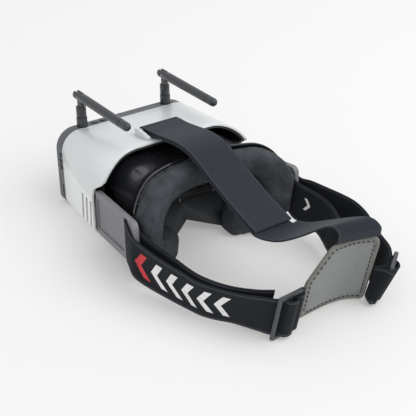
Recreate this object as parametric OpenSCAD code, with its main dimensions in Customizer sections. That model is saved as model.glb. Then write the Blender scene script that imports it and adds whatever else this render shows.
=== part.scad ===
// Box-style FPV goggles: a display module that plugs into a tapered headset with a foam face ring,
// two strap arms, side straps with slider buckles, a back pad and a hook-and-loop top strap.

/* [Front box] */
// Width of the front
front_w = 145; // [142:0.5:148]
// Height of the front
front_h = 71; // [70:0.5:72]
// Radius of the two upper corners of the front
front_rt = 19; // [17:0.5:21]
// Radius of the two lower corners of the front
front_rb = 7.5; // [6.5:0.5:8.5]
// Depth of the dark rim that shows in front of the shell
rim_d = 11.8; // [11.6:0.1:12]
// Wall of the display module
wall = 1.8; // [1.6:0.1:2]

/* [Shell] */
// Width of the shell at its reference rear plane
rear_w = 171.4; // [169:0.2:173]
// Height of the shell at its reference rear plane
rear_h = 75.3; // [74.5:0.1:76]
// Radius of the two upper corners at the reference rear plane
rear_rt = 46.5; // [44:0.5:48]
// Distance of the reference rear plane from the front face
rear_y = 91; // [90:0.5:92]
// Wall of the shell
shell_wall = 2.2; // [2:0.1:2.4]
// Number of cooling slots in each side
vents = 3; // [2:1:3]
// Angle that the box is tipped forward by, resting on its front edge and the cheek feet
tilt = 8.5; // [8:0.1:9]

/* [Antennas] */
// Distance between the two antennas
antenna_gap = 93.3; // [92:0.1:96]
// Height of the fold hinge above the top of the box
hinge_h = 29; // [28:0.1:30]
// Length of the folding arm from its hinge to the start of its round tip
arm_len = 78; // [74:0.5:80]
// Radius of the arm at its hinge
arm_r = 4.2; // [4.1:0.1:4.4]
// Radius of the arm at its tip
tip_r = 4; // [3.9:0.1:4.1]
// Radius of the fixed collar
collar_r = 5; // [4.9:0.1:5.1]

/* [Face ring] */
// Width of the face flange
flange_w = 161; // [160:0.5:162]
// Height of the top of the flange above the cheek feet
flange_h = 87; // [86:0.5:88]
// Distance of the flange from the front lower edge, on the centre line
flange_y = 110.3; // [109.5:0.1:111]
// Radius that the flange is bent to, seen from above
bend_r = 150; // [145:1:160]
// Thickness of the face foam
foam_t = 18; // [16:0.5:20]
// Width of the nose gap between the two cheek feet
nose_w = 62; // [58:1:66]
// Width of the lens
lens_w = 116; // [114:1:118]
// Height of the lens
lens_h = 42; // [40:1:44]

/* [Straps] */
// Width of the elastic webbing
web_w = 38; // [37:0.5:39]
// Thickness of the elastic webbing
web_t = 1.6; // [1.4:0.1:1.8]
// Thickness of the back pad
pad_t = 5; // [4:0.5:6]

/* [Hidden] */
$fn = 48;

// Where the front lower edge stands, so that the origin is under the middle of the whole object
shift_x = 11.834;
shift_y = -134.97;
// Rounding of the front edge, and how far it lets the box down onto the surface
edge = 2;
edge_in = 1.8;
drop = edge * sin(tilt);

// Display module, along its own depth
cover_y = 2.8;
split_gap = 0.2;
bezel_y = cover_y + split_gap;
tongue_y = 19;
tongue_in = 2.6;
tongue_wall = 1.6;
back_wall = 2;
button_y = 7.5;
fit_gap = 0.3;
travel = 0.8;
screen = [105, 61, 3.2];
window = [98, 56];
screen_y = 12.6;
screen_z = front_h / 2;
board = [118, 54, 1.6];
board_y = 9.8;
can = [28, 14, 3.2];
screw_x = 64.5;
screw_z = [26, 58];
top_button_x = [33, 23.5];
side_button_z = [48.5, 42.5, 36.5];
side_button_r = 2;
button_collar = 2.8;
jack_r = 1.8;
jack_z = 47;
usb_z = 36.5;
usb = [6, 3.2, 8.4];
card_z = 13;
led_x = 14;

// Antennas
antenna_x = antenna_gap / 2;
collar_h = 9;
stem_r = 4.65;
hinge_z = front_h + hinge_h;
journal_r = 3;
run = 0.05;
pin_r = 1;
tongue_t = 3;
fork_gap = 3.4;
arm_back = 5;
arm_droop = 4;

// Shell and housing
shell_y = rim_d + fit_gap;
scallop_r = collar_r + 0.5;
side_edge_y = 82;
brow_edge_y = 94;
top_edge_y = 86.6;
step_z = [43, 52];
housing_y = 24;
throat_y = 42;
throat_t = 2;
housing_wall = 1.6;
housing_w = 143;
housing_slope = 1.6;
chin_h = 8;
chin_y = 94;
vent_y = 56;
vent_step = 9.5;
vent_z = [5, 32];
vent_w = 3.8;

// Face ring, upright while the box is tipped
flange_rt = 30;
flange_rb = 38;
flange_t = 2.2;
funnel_wall = 2;
lens_y = 86;
lens_t = 2.5;
lens_z = 49.5;
retainer = 8;
retainer_h = 50;
seat_t = 2.5;
foam_in = 3;
foam_w = 20;
foam_top = 15;
foam_low = 25;
bend_y = flange_y + bend_r;
foam_r = bend_r - flange_t - 0.2;

// Strap arms, level with the box and flaring out to clear the foam
arm_x = 80.6;
arm_t = 5;
arm_flare = 6.5;
arm_root = 62;
arm_start = 80;
arm_out = 84;
tab_t = 3;
tab_z = [6, 38];
arm_end = 157;
arm_z = [2, 43];
arm_nose = 6;
anchor_bar = [65.6, 78.2];
slot_y = [139.5, 145.5];
slot_z = [2.8, 42.2];
panel_y = [86, 136];
panel_z = [8, 37];
panel_d = 1.2;
arm_screw_z = [12, 34];
arm_screw_y = 66;

// Edges of the webbing, upper and lower: round the slider's middle bar, forward to the arm's slot, and back
left_top = [[37.5, 256.5, 42], [51, 241, 41], [62, 223.5, 40.5], [69, 212, 41], [74.5, 197, 43],
            [82.5, 178, 47], [88.6, 160, 51.5]];
left_low = [[36, 250, 4], [44.5, 233, 2.5], [54, 221, 2], [60.5, 210.5, 1.6], [65, 199, 1.8],
            [72.5, 181, 3.5], [83, 163, 9]];
left_back_top = [[80.3, 158, 53.8], [77, 170, 50.5], [72, 186, 47.5], [69, 199, 45.5], [65.5, 211, 44.5],
                 [58.5, 225, 44], [49, 237, 43.5], [36, 248, 43], [25, 255, 43]];
left_back_low = [[79.2, 162, 15.5], [73, 173, 12], [67, 186, 9.5], [63.5, 198, 7.5], [60, 209.5, 6.5],
                 [52.5, 221.5, 6], [42, 233, 5.5], [30, 243, 5], [23, 249, 5]];
right_top = [[-99.5, 258, 42.5], [-104.5, 241, 43.5], [-110, 226, 45], [-114, 213, 46.5], [-114.2, 199, 48.5],
             [-109, 187, 51], [-101.5, 174, 53.5], [-94.5, 161, 55.5]];
right_low = [[-92.5, 246, 4], [-97, 232, 5], [-103, 216, 7], [-107.5, 203, 9], [-109, 192, 11.5],
             [-105.5, 181, 13.5], [-100, 170, 16], [-94.5, 160, 18]];
right_back_top = [[-82.5, 158, 55], [-88.5, 171, 52], [-92, 183, 49.5], [-92, 195, 47], [-88, 207, 45.5],
                  [-86.5, 220, 44], [-87, 235, 43.5], [-88.5, 250, 43], [-88.4, 258, 42.5]];
right_back_low = [[-82, 160, 17.5], [-87, 171, 15], [-90, 182, 12.5], [-88, 193, 10], [-83.5, 205, 8.5],
                  [-80, 218, 7.5], [-78, 232, 6.5], [-77.5, 244, 5.5], [-78, 250, 5]];

// Turn of the webbing round the end bar of an arm: [along, out, drop of the webbing]
arm_turn = [[156.8, 1.4, 9.6], [148, 1.4, 2.6], [144, 0.8, 0.4], [142.2, -2.5, 0], [144, -5.8, 0.4],
            [148, -6.4, 2.6], [153, -6.4, 7]];

// Turn of the webbing round the middle bar of a slider: [across, out] from the bar, sewn end first
bar_turn = [[0, -2.8], [2.7, -2.3], [3.5, 0], [5.6, 2.8], [4.6, 5.3], [0.4, 5.9], [-3.6, 4],
            [-4.6, 0.4], [-6.8, -2.6], [-11, -3.6]];
// Turn of a pad loop round the outer bar of a slider
end_turn = [[2.9, -2.9], [3.1, 0], [2.2, 2.5], [-0.4, 3.1], [-2.6, 2.2], [-3.1, -0.3], [-2.3, -3.1]];

// Top strap: the flap that lies on top, round the anchor bar, and back under it to the pad
flap_line = [[218, 74.2], [209, 76], [190, 80.2], [170, 86], [152, 91.5], [137, 97], [122, 100.4],
             [106, 99.8], [90, 96.4], [76, 93], [66, 91.2], [57, 89.6], [53, 89.2], [50.6, 86.8], [53.2, 84.1]];
under_line = [[58, 85.4], [66, 87.7], [76, 90.4], [90, 93.8], [106, 97.1], [121, 97.7], [136, 94.3],
              [151, 88.8], [170, 83.3], [190, 77.5], [208, 73.3], [218, 70.6]];
tail_left = [[12, 228, 69.5], [4, 236, 71.5], [-8, 245, 78], [-19, 254, 86.5], [-25, 259.5, 88],
             [-29, 263, 82], [-30, 262.2, 76], [-30.3, 261.4, 72]];
tail_right = [[-26, 219, 69.5], [-33, 227, 70.5], [-42, 238, 76], [-54, 253, 83.5], [-62, 264, 87],
              [-67, 271, 82], [-68.4, 271.3, 76], [-69, 270.8, 72]];

// Back pad: its centre line at the foot, how far the top leans back, and the slider frames
pad_line = [[-4, 255], [-20, 253.8], [-38, 253.4], [-52, 255], [-63, 259.2], [-71.3, 264.6]];
pad_lean = 0.1;
pad_low = 1;
pad_end = 38;
pad_top = 70;
slider_w = 24.5;
slider_h = 45;
slider_bar = 3;
slider_t = 3.5;
slider_base = 0.6;
left_foot = [31.5, 263.7];
left_turn = [182.3, 5.3];
right_foot = [-70.3, 273.8];
right_turn = [215.2, 15.7];
pad_sewn_left = [[-3.1, 256, 0], [-3, 254.1, 0]];
pad_sewn_right = [[-72, 266.1, 0], [-73, 264.5, 0]];
web_low = (slider_h - web_w) / 2;

// ---- outlines and skins ----

// Points of an arc, each as [across, up]
function arc(cx, cz, r, a0, a1, n) =
    [for (i = [0:n]) let (a = a0 + (a1 - a0) * i / n) [cx + r * cos(a), cz + r * sin(a)]];

// Box face with round corners, standing between two heights
function face(w, z0, z1, rt, rb, n = 10) = concat(
    arc(w / 2 - rb, z0 + rb, rb, -90, 0, n), arc(w / 2 - rt, z1 - rt, rt, 0, 90, n),
    arc(rt - w / 2, z1 - rt, rt, 90, 180, n), arc(rb - w / 2, z0 + rb, rb, 180, 270, n));

// The same face with points along its top and its foot, so that it can be bent round the face
function long_face(w, z0, z1, rt, rb, n = 10, k = 12) = concat(
    arc(w / 2 - rb, z0 + rb, rb, -90, 0, n), arc(w / 2 - rt, z1 - rt, rt, 0, 90, n),
    [for (i = [1:k - 1]) [lerp(w / 2 - rt, rt - w / 2, i / k), z1]],
    arc(rt - w / 2, z1 - rt, rt, 90, 180, n), arc(rb - w / 2, z0 + rb, rb, 180, 270, n),
    [for (i = [1:k - 1]) [lerp(rb - w / 2, w / 2 - rb, i / k), z0]]);

function lerp(a, b, t) = a + (b - a) * t;
function at_y(pts, y) = [for (p = pts) [p[0], y, p[1]]];

// Side triangles between rings of n points; wraps back to the first ring when closed
function sides(m, n, closed) = [for (j = [0:m - (closed ? 1 : 2)]) for (i = [0:n - 1])
    let (a = j * n + i, b = j * n + (i + 1) % n, k = ((j + 1) % m) * n, c = k + (i + 1) % n, d = k + i)
    each [[a, b, c], [a, c, d]]];

// Ring of walls: outer rings front to rear, then inner rings rear to front
module tube(rings) {
    polyhedron([for (r = rings) each r], sides(len(rings), len(rings[0]), true), convexity = 6);
}

// Solid through rings with flat ends
module skin(rings) {
    m = len(rings);
    n = len(rings[0]);
    polyhedron([for (r = rings) each r],
               concat([[for (i = [n - 1:-1:0]) i]], sides(m, n, false), [[for (i = [0:n - 1]) (m - 1) * n + i]]),
               convexity = 6);
}

// Extrude an outline of [across, up] between two depths
module along_y(y0, y1) {
    translate([0, y1, 0]) rotate([90, 0, 0]) linear_extrude(y1 - y0) children();
}

// Extrude an outline of [depth, up] between two sides
module along_x(x0, x1) {
    translate([x0, 0, 0]) rotate([90, 0, 90]) linear_extrude(x1 - x0) children();
}

module front_face(inset) {
    polygon(face(front_w - 2 * inset, inset, front_h - inset, front_rt - inset, front_rb - inset));
}

// ---- smooth curves through points, and webbing between two edges ----

function pick(v, i) = v[min(max(i, 0), len(v) - 1)];
function bend(a, b, c, d, t) =
    0.5 * (2 * b + (c - a) * t + (2 * a - 5 * b + 4 * c - d) * t * t + (3 * b - a - 3 * c + d) * t * t * t);
function smooth(v, k) = concat([for (i = [0:len(v) - 2]) for (s = [0:k - 1])
    bend(pick(v, i - 1), v[i], v[i + 1], pick(v, i + 2), s / k)], [v[len(v) - 1]]);
function unit(v) = v / norm(v);

// Strip of thickness t between an upper and a lower edge
module strip(top, low, t) {
    m = len(top);
    rings = [for (i = [0:m - 1])
        let (run_on = pick(top, i + 1) + pick(low, i + 1) - pick(top, i - 1) - pick(low, i - 1),
             n = unit(cross(run_on, top[i] - low[i])) * t / 2)
        [low[i] + n, top[i] + n, top[i] - n, low[i] - n]];
    n = 4;
    polyhedron([for (r = rings) each r],
               concat([[0, 2, 1], [0, 3, 2]],
                      [for (f = sides(m, n, false)) f],
                      [[4 * m - 4, 4 * m - 3, 4 * m - 2], [4 * m - 4, 4 * m - 2, 4 * m - 1]]), convexity = 10);
}

// ---- frames: the tipped box and the upright face parts ----

module boxed() {
    translate([shift_x, shift_y, -drop]) rotate([tilt, 0, 0]) children();
}

module upright() {
    translate([shift_x, shift_y, 0]) children();
}

// ---- display module ----

module front_cover() {
    color("#55575b") boxed() difference() {
        skin([at_y(face(front_w - 2 * edge_in, edge_in, front_h - edge_in, front_rt - edge_in, front_rb - edge_in), 0),
              at_y(face(front_w - 1, 0.5, front_h - 0.5, front_rt - 0.5, front_rb - 0.5), edge * 0.4),
              at_y(face(front_w, 0, front_h, front_rt, front_rb), edge),
              at_y(face(front_w, 0, front_h, front_rt, front_rb), cover_y)]);
        along_y(wall, cover_y + 1) front_face(wall);
        along_y(-1, 0.6) polygon(face(108, 14, 57, 8, 8));
    }
}

module display_bezel() {
    color("#5a5c60") boxed() difference() {
        union() {
            along_y(bezel_y, rim_d) front_face(0);
            along_y(rim_d - 0.01, tongue_y) front_face(tongue_in);
        }
        difference() {
            along_y(bezel_y - 1, rim_d) front_face(wall);
            screw_posts(2.6, bezel_y, rim_d + 1);
        }
        difference() {
            along_y(rim_d - 0.02, tongue_y - back_wall) front_face(tongue_in + tongue_wall);
            screw_posts(2.6, rim_d - 1, tongue_y);
        }
        translate([-window[0] / 2, tongue_y - 3, screen_z - window[1] / 2]) cube([window[0], 4, window[1]]);
        screw_posts(1.1, 0, tongue_y + 1);
        for (s = [-1, 1]) translate([s * antenna_x, button_y, front_h - 3]) cylinder(r = 3.3, h = 4);
        for (x = top_button_x) translate([x - 3.5 - fit_gap, button_y - 1.6 - fit_gap, front_h - 3])
            cube([7 + 2 * fit_gap, 3.2 + 2 * fit_gap, 4]);
        for (z = side_button_z) translate([front_w / 2 - 3, button_y, z]) rotate([0, 90, 0])
            cylinder(r = side_button_r + fit_gap, h = 4);
        translate([front_w / 2 - 3, board_y - 1.8, card_z - 6.2]) cube([4, 1.6, 12.4]);
        translate([-front_w / 2 - 1, button_y, jack_z]) rotate([0, 90, 0]) cylinder(r = 3, h = 4);
        translate([-front_w / 2 - 1, button_y - 1.8, usb_z - 4.4]) cube([4, 3.6, 8.8]);
        translate([led_x, button_y, front_h - 3]) cylinder(r = 1.05, h = 4);
    }
}

// Four round posts, or the bores in them, at the corners of the module
module screw_posts(r, y0, y1) {
    for (x = [-screw_x, screw_x]) for (z = screw_z)
        translate([x, y1, z]) rotate([90, 0, 0]) cylinder(r = r, h = y1 - y0);
}

module module_screws() {
    color("#2b2b2d") boxed() difference() {
        union() {
            screw_posts(1, bezel_y + 0.4, tongue_y);
            screw_posts(1.9, tongue_y, tongue_y + 1.4);
        }
        for (x = [-screw_x, screw_x]) for (z = screw_z) translate([x, tongue_y + 1, z]) {
            cube([2.6, 1.2, 0.6], center = true);
            cube([0.6, 1.2, 2.6], center = true);
        }
    }
}

module lcd_panel() {
    color("#101215") boxed() translate([-screen[0] / 2, screen_y, screen_z - screen[1] / 2])
        cube([screen[0], screen[2], screen[1]]);
}

module screen_gasket() {
    y0 = screen_y + screen[2];
    color("#1b1b1b") boxed() difference() {
        translate([-screen[0] / 2, y0, screen_z - screen[1] / 2])
            cube([screen[0], tongue_y - back_wall - y0, screen[1]]);
        translate([-window[0] / 2, y0 - 1, screen_z - window[1] / 2]) cube([window[0], 4, window[1]]);
    }
}

module main_board() {
    color("#1e5a3a") boxed() translate([-board[0] / 2, board_y, screen_z - board[1] / 2])
        cube([board[0], board[2], board[1]]);
}

module receiver(s) {
    color("#c8cacc") boxed() translate([s * 44 - can[0] / 2, board_y - can[2], 47.4])
        cube([can[0], can[2], can[1]]);
}

module battery_cell() {
    color("#8d98a3") boxed() translate([-55, 4, 8.6]) cube([60, 4.6, 37]);
}

module charge_port() {
    color("#b9bbbe") boxed() translate([-front_w / 2 + 0.4, button_y - usb[1] / 2, usb_z - usb[2] / 2])
        difference() {
            cube(usb);
            translate([-1, 0.4, 0.4]) cube([usb[0], usb[1] - 0.8, usb[2] - 0.8]);
        }
}

module av_jack() {
    color("#1d1d1f") boxed() difference() {
        union() {
            translate([-front_w / 2 + 0.3, button_y, jack_z]) rotate([0, 90, 0]) cylinder(r = 2.8, h = 3);
            translate([-front_w / 2 + 2, button_y - 3, jack_z - 3]) cube([10, 6, 6]);
        }
        translate([-front_w / 2 - 1, button_y, jack_z]) rotate([0, 90, 0]) cylinder(r = jack_r, h = 11.3);
    }
}

module card_reader() {
    color("#a9abae") boxed() translate([55.5, board_y - 2, card_z - 7]) difference() {
        cube([14.8, 2, 14]);
        translate([1, 0.4, 1]) cube([15, 1.2, 12]);
    }
}

module status_led() {
    color("#d8e6ff") boxed() translate([led_x, button_y, front_h - 5]) cylinder(r = 1, h = 5);
}

module antenna_nuts() {
    color("#c9a94f") boxed() for (s = [-1, 1]) translate([s * antenna_x, button_y, front_h - 4.2])
        difference() {
            cylinder(r = 4.2, h = 2.3, $fn = 6);
            translate([0, 0, -1]) cylinder(r = 3.25, h = 5);
        }
}

// Push cap that sticks out of the top of the rim, with a collar under the wall
module top_button(x) {
    color("#3a3c40") boxed() translate([x, button_y, 0]) {
        translate([-3.5, -1.6, front_h - 3.4]) cube([7, 3.2, 4.3]);
        translate([-4.6, -2.5, front_h - 4]) cube([9.2, 5, 1]);
    }
}

// Round push cap that sticks out of the side of the rim
module side_button(z) {
    color("#3a3c40") boxed() translate([0, button_y, z]) rotate([0, 90, 0]) {
        translate([0, 0, front_w / 2 - 3.4]) cylinder(r = side_button_r, h = 4.3);
        translate([0, 0, front_w / 2 - 4]) cylinder(r = button_collar, h = 1);
    }
}

module power_button() { top_button(top_button_x[0]); }
module menu_button() { top_button(top_button_x[1]); }
module search_button() { side_button(side_button_z[0]); }
module band_button() { side_button(side_button_z[1]); }
module channel_button() { side_button(side_button_z[2]); }

// ---- antennas ----

// Fixed collar with a threaded stud below and a bore for the swivelling stem
module antenna_collar(s) {
    color("#3c3e42") boxed() translate([s * antenna_x, button_y, 0]) difference() {
        union() {
            translate([0, 0, front_h]) cylinder(r = collar_r, h = collar_h);
            translate([0, 0, front_h - 5]) cylinder(r = 3.2, h = 5.01);
        }
        translate([0, 0, front_h + 2.8]) cylinder(r = journal_r + run, h = collar_h);
    }
}

module antenna_stem(s) {
    top = hinge_z - arm_back - arm_r - 0.5;
    color("#3c3e42") boxed() translate([s * antenna_x, button_y, 0]) difference() {
        union() {
            translate([0, 0, front_h + 3]) cylinder(r = journal_r, h = collar_h);
            translate([0, 0, front_h + collar_h + 0.2]) cylinder(r = stem_r, h = top - front_h - collar_h - 0.2);
            translate([-tongue_t / 2, -3.6, top - 1]) cube([tongue_t, 7.2, hinge_z - top + 1]);
            translate([-tongue_t / 2, 0, hinge_z]) rotate([0, 90, 0]) cylinder(r = 3.6, h = tongue_t);
        }
        translate([-5, 0, hinge_z]) rotate([0, 90, 0]) cylinder(r = pin_r + run, h = 10);
    }
}

// Folding arm: a tapered rod with a round tip and a fork at its hinge, lying towards the rear
module antenna_arm(s) {
    color("#3c3e42") boxed() translate([s * antenna_x, button_y, hinge_z]) rotate([-arm_droop, 0, 0]) difference() {
        rotate([-90, 0, 0]) rotate_extrude() difference() {
            union() {
                polygon([[0, -arm_back], [arm_r, -arm_back], [arm_r, 12], [tip_r, arm_len], [0, arm_len]]);
                translate([0, -arm_back]) circle(r = arm_r);
                translate([0, arm_len]) circle(r = tip_r);
            }
            translate([-20, -20]) square([20, 120]);
            translate([tip_r - 0.3, arm_len - 8]) square([2, 0.9]);
        }
        translate([-fork_gap / 2, -arm_back - arm_r - 1, -6]) cube([fork_gap, arm_back + arm_r + 5.4, 12]);
        translate([-6, 0, 0]) rotate([0, 90, 0]) cylinder(r = pin_r + 0.02, h = 12);
    }
}

module antenna_pin(s) {
    color("#9a9c9f") boxed() translate([s * antenna_x - 4, button_y, hinge_z]) rotate([0, 90, 0])
        cylinder(r = pin_r, h = 8);
}

// ---- shell and housing ----

function shell_pt(f, r, y) = let (p = lerp(f, r, (y - shell_y) / (rear_y - shell_y))) [p[0], y, p[1]];

// Depth of the rear edge: forward at the sides below the brow, back again along the top corners
function edge_y(p) =
    let (z = p[1], up = min(max((z - step_z[0]) / (step_z[1] - step_z[0]), 0), 1),
         over = min(max((z - step_z[1]) / (rear_h - step_z[1]), 0), 1))
    lerp(lerp(side_edge_y, brow_edge_y, up), top_edge_y, over * over);

// Rings of the shell skin at an inset from the outside
function shell_rings(inset, ts) =
    let (f = face(front_w - 2 * inset, inset, front_h - inset, front_rt - inset, front_rb - inset, 16),
         r = face(rear_w - 2 * inset, inset, rear_h - inset, rear_rt - inset, front_rb - inset, 16))
    [for (t = ts) [for (i = [0:len(f) - 1]) shell_pt(f[i], r[i], lerp(shell_y, edge_y(r[i]), t))]];

module outer_shell() {
    color("#c9cccc") boxed() difference() {
        tube(concat(shell_rings(0, [0, 0.5, 1]), shell_rings(shell_wall, [1, 0.5, 0])));
        for (s = [-1, 1]) {
            translate([s * antenna_x, button_y, front_h - 4]) cylinder(r = scallop_r, h = 8);
            for (i = [0:vents - 1]) translate([s * 80, vent_y + i * vent_step, 0]) rotate([-6, 0, 0])
                translate([-8, -vent_w / 2, vent_z[0]]) cube([16, vent_w, vent_z[1] - vent_z[0]]);
        }
        for (x = [-30, 30]) translate([x, 40, -1]) cylinder(r = 1.6, h = 5);
    }
}

// Black inner housing: follows the inside of the shell above the strap arms, and leaves room for them below
function housing_pt(q, inset) =
    let (lim = housing_w / 2 - inset + max(0, q[2] - arm_z[1] - 1) * housing_slope)
    [max(min(q[0], lim), -lim), q[1], q[2]];
function housing_rings(inset) =
    let (k = shell_wall + 0.5 + inset,
         f = face(front_w - 2 * k, k, front_h - k, front_rt - k, front_rb - k, 16),
         r = face(rear_w - 2 * k, k, rear_h - k, rear_rt - k, front_rb - k, 16))
    [for (t = [0, 0.5, 1]) [for (i = [0:len(f) - 1])
        let (end = r[i][1] < chin_h ? chin_y : edge_y(r[i]) - 1.5)
        housing_pt(shell_pt(f[i], r[i], lerp(housing_y, end, t)), inset)]];

module inner_housing() {
    outer = housing_rings(0);
    inner = housing_rings(housing_wall);
    color("#141517") boxed() {
        tube(concat(outer, [inner[2], inner[1], inner[0]]));
        difference() {
            along_y(throat_y - throat_t, throat_y) polygon(face(140, 3.4, 69, 20, 6));
            along_y(throat_y - throat_t - 1, throat_y + 1) polygon(face(112, 11, 63, 12, 12));
        }
    }
}

// Four screws up through the floor of the shell into the housing
module shell_screws() {
    color("#2b2b2d") boxed() for (x = [-30, 30]) translate([x, 40, 0]) {
        translate([0, 0, 0.4]) cylinder(r = 1.5, h = 2.3);
    }
}

// ---- face parts ----

function flange_at(x) = bend_y - sqrt(bend_r * bend_r - x * x);
function funnel_front(pts) = [for (p = pts)
    [p[0], (throat_y + 0.2 - (p[1] + drop) * sin(tilt)) / cos(tilt), p[1]]];
function funnel_rear(pts, off) = [for (p = pts) [p[0], flange_at(p[0]) + off, p[1]]];

// Rings of the funnel at an inset: straight from the throat, then flaring out to the flange
function funnel_rings(inset) = let (i = inset) [
    funnel_front(long_face(124 - 2 * i, 16 + i, 72 - i, 18 - i, 14 - i)),
    at_y(long_face(130 - 2 * i, 16.5 + i, 75 - i, 22 - i, 16 - i), 72),
    at_y(long_face(134 - 2 * i, 18.6 + i, 77 - i, 25 - i, 20 - i), 92),
    funnel_rear(long_face(140 - 2 * i, 16 + i, 79 - i, 27 - i, 24 - i), -12),
    funnel_rear(long_face(150 - 2 * i, 6 + i, 83 - i, 28.5 - i, 31 - i), -3.5),
    funnel_rear(long_face(flange_w - 2 * i, 1 + i, flange_h - i, flange_rt - i, flange_rb - i), 0),
    funnel_rear(long_face(flange_w - 2 * i, 1 + i, flange_h - i, flange_rt - i, flange_rb - i), flange_t)];

// Funnel between the screen and the face, with the flange for the foam and a seat for the lens
module eye_funnel() {
    outer = funnel_rings(0);
    inner = funnel_rings(funnel_wall);
    color("#17181b") upright() {
        difference() {
            tube(concat(outer, [for (j = [6:-1:0]) inner[j]]));
            translate([-48, lens_y + 6, -5]) cube([96, 80, 30.5]);
        }
        difference() {
            along_y(lens_y - seat_t, lens_y - 0.05) polygon(face(130.6, 19.4, 75, 23, 16));
            along_y(lens_y - seat_t - 1, lens_y + 1)
                polygon(face(lens_w - 6, lens_z - lens_h / 2 + 3, lens_z + lens_h / 2 - 3, 12, 8));
            retainer_holes(1.1, lens_y - seat_t - 1, lens_y + 1);
        }
    }
}

// Sheet between a few corners
module sheet_of(pts, r = 1.1) {
    hull() for (p = pts) translate(p) sphere(r, $fn = 10);
}

// Plate that closes the funnel under the lens, and folds down to the nose gap and the cheek feet
module nose_bridge() {
    apex = [0, 103, 13.3];
    color("#25282c") upright() difference() {
        for (s = [-1, 1]) {
            sheet_of([[0, 94, 25.6], [s * 46.5, 94, 25.6], [s * 29.7, 120, 6], apex]);
            sheet_of([[s * 46.5, 94, 25.6], [s * 46.5, 113, 24.5], [s * 46.5, 113, 6], [s * 29.7, 115, 6]]);
        }
        for (x = [-60, nose_w / 2 - 0.4]) translate([x, bend_y - foam_r - 0.2, -5]) cube([60.4 - nose_w / 2, 40, 35]);
    }
}

module fresnel_lens() {
    color("#dfe7ea", 0.4) upright() along_y(lens_y, lens_y + lens_t)
        polygon(face(lens_w, lens_z - lens_h / 2, lens_z + lens_h / 2, 14, 10));
}

module lens_retainer() {
    y = lens_y + lens_t;
    color("#101113") upright() difference() {
        along_y(y, y + 2.5) polygon(face(lens_w + 4, lens_z - retainer_h / 2, lens_z + retainer_h / 2, 20, 12));
        along_y(y - 1, y + 4) polygon(face(lens_w + 4 - 2 * retainer, lens_z - retainer_h / 2 + retainer,
                                           lens_z + retainer_h / 2 - retainer, 12, 6));
        retainer_holes(1.1, y - 1, y + 4);
    }
}

// Places of the retainer's screws, clear above and below the lens
module retainer_holes(r, y0, y1) {
    for (x = [-38, 0, 38]) for (s = [-1, 1])
        translate([x, y1, lens_z + s * (lens_h / 2 + 2)]) rotate([90, 0, 0]) cylinder(r = r, h = y1 - y0);
}

module retainer_screws() {
    y = lens_y + lens_t + 2.5;
    color("#c9cbcd") upright() {
        retainer_holes(1, lens_y - seat_t, y);
        retainer_holes(1.6, y, y + 1.2);
    }
}

// Foam ring on the flange, cut square at the feet, with the nose gap left open
module face_foam() {
    z1 = flange_h - foam_in;
    w = flange_w - 2 * foam_in;
    color("#2f3237") upright() difference() {
        intersection() {
            along_y(90, 170) difference() {
                polygon(face(w, 0, z1, flange_rt - foam_in, 32));
                polygon(face(w - 2 * foam_w, foam_low, z1 - foam_top, 20, 12));
                translate([-nose_w / 2, -5]) square([nose_w, foam_low + 20]);
            }
            translate([0, bend_y, -5]) cylinder(r = foam_r, h = 100, $fn = 200);
        }
        translate([0, bend_y, -6]) cylinder(r = foam_r - foam_t, h = 102, $fn = 200);
    }
}

// ---- strap arms ----

module arm_outline() {
    union() {
        translate([arm_out, arm_z[0]]) square([arm_end - arm_out - arm_nose, arm_z[1] - arm_z[0]]);
        translate([arm_out, arm_z[0] + arm_nose]) square([arm_end - arm_out, arm_z[1] - arm_z[0] - 2 * arm_nose]);
        for (z = [arm_z[0] + arm_nose, arm_z[1] - arm_nose]) translate([arm_end - arm_nose, z]) circle(r = arm_nose);
    }
}

// Put something on the outside face of an arm: X out, Y along it
module on_arm(s) {
    boxed() mirror([s > 0 ? 0 : 1, 0, 0]) translate([arm_x, arm_start, 0]) rotate([0, 0, -arm_flare])
        translate([0, -arm_start, 0]) children();
}

// Flat arm with a thin root inside the shell, a recessed panel and a tall slot for the side strap
module strap_arm(s) {
    color("#77797d") on_arm(s) difference() {
        union() {
            along_x(-arm_t, 0) arm_outline();
            along_x(-arm_t, tab_t - arm_t) translate([arm_root, tab_z[0]])
                square([arm_out + 1 - arm_root, tab_z[1] - tab_z[0]]);
        }
        along_x(-panel_d, 1) translate([panel_y[0], panel_z[0]])
            square([panel_y[1] - panel_y[0], panel_z[1] - panel_z[0]]);
        along_x(-arm_t - 1, 1) translate([slot_y[0], slot_z[0]])
            square([slot_y[1] - slot_y[0], slot_z[1] - slot_z[0]]);
        for (z = arm_screw_z) translate([-arm_t - 1, arm_screw_y, z]) rotate([0, 90, 0])
            cylinder(r = 1.6, h = arm_t + 2);
    }
}

// Four screws that hold the roots of the arms
module arm_screws() {
    color("#2b2b2d") for (s = [-1, 1]) on_arm(s) for (z = arm_screw_z)
        translate([-arm_t, arm_screw_y, z]) rotate([0, 90, 0]) cylinder(r = 1.5, h = tab_t);
}

// Place beside an arm: along it, out from its outside face and up, in the upright frame
function by_arm(s, along, out, up) =
    let (y = arm_start + (along - arm_start) * cos(arm_flare) - out * sin(arm_flare))
    [s * (arm_x + (along - arm_start) * sin(arm_flare) + out * cos(arm_flare)),
     y * cos(tilt) - up * sin(tilt), y * sin(tilt) + up * cos(tilt) - drop];

// Bridge on the rear top edge of the shell: two legs and the bar that the top strap turns round
function roof(y) = lerp(front_h, rear_h, (y - shell_y) / (rear_y - shell_y)) + 0.05;

module top_strap_anchor() {
    color("#aeb1b2") boxed() {
        for (x = [-24.5, 21.5]) along_x(x, x + 3)
            polygon([[62.5, roof(62.5)], [84, roof(84)], [84, 77.8], [76, 79.6], [68, 80.6], [62.5, 80.2]]);
        translate([-24, anchor_bar[0], anchor_bar[1]]) rotate([0, 90, 0]) cylinder(r = 1.5, h = 48);
    }
}

// ---- straps, buckles and pad ----

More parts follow.
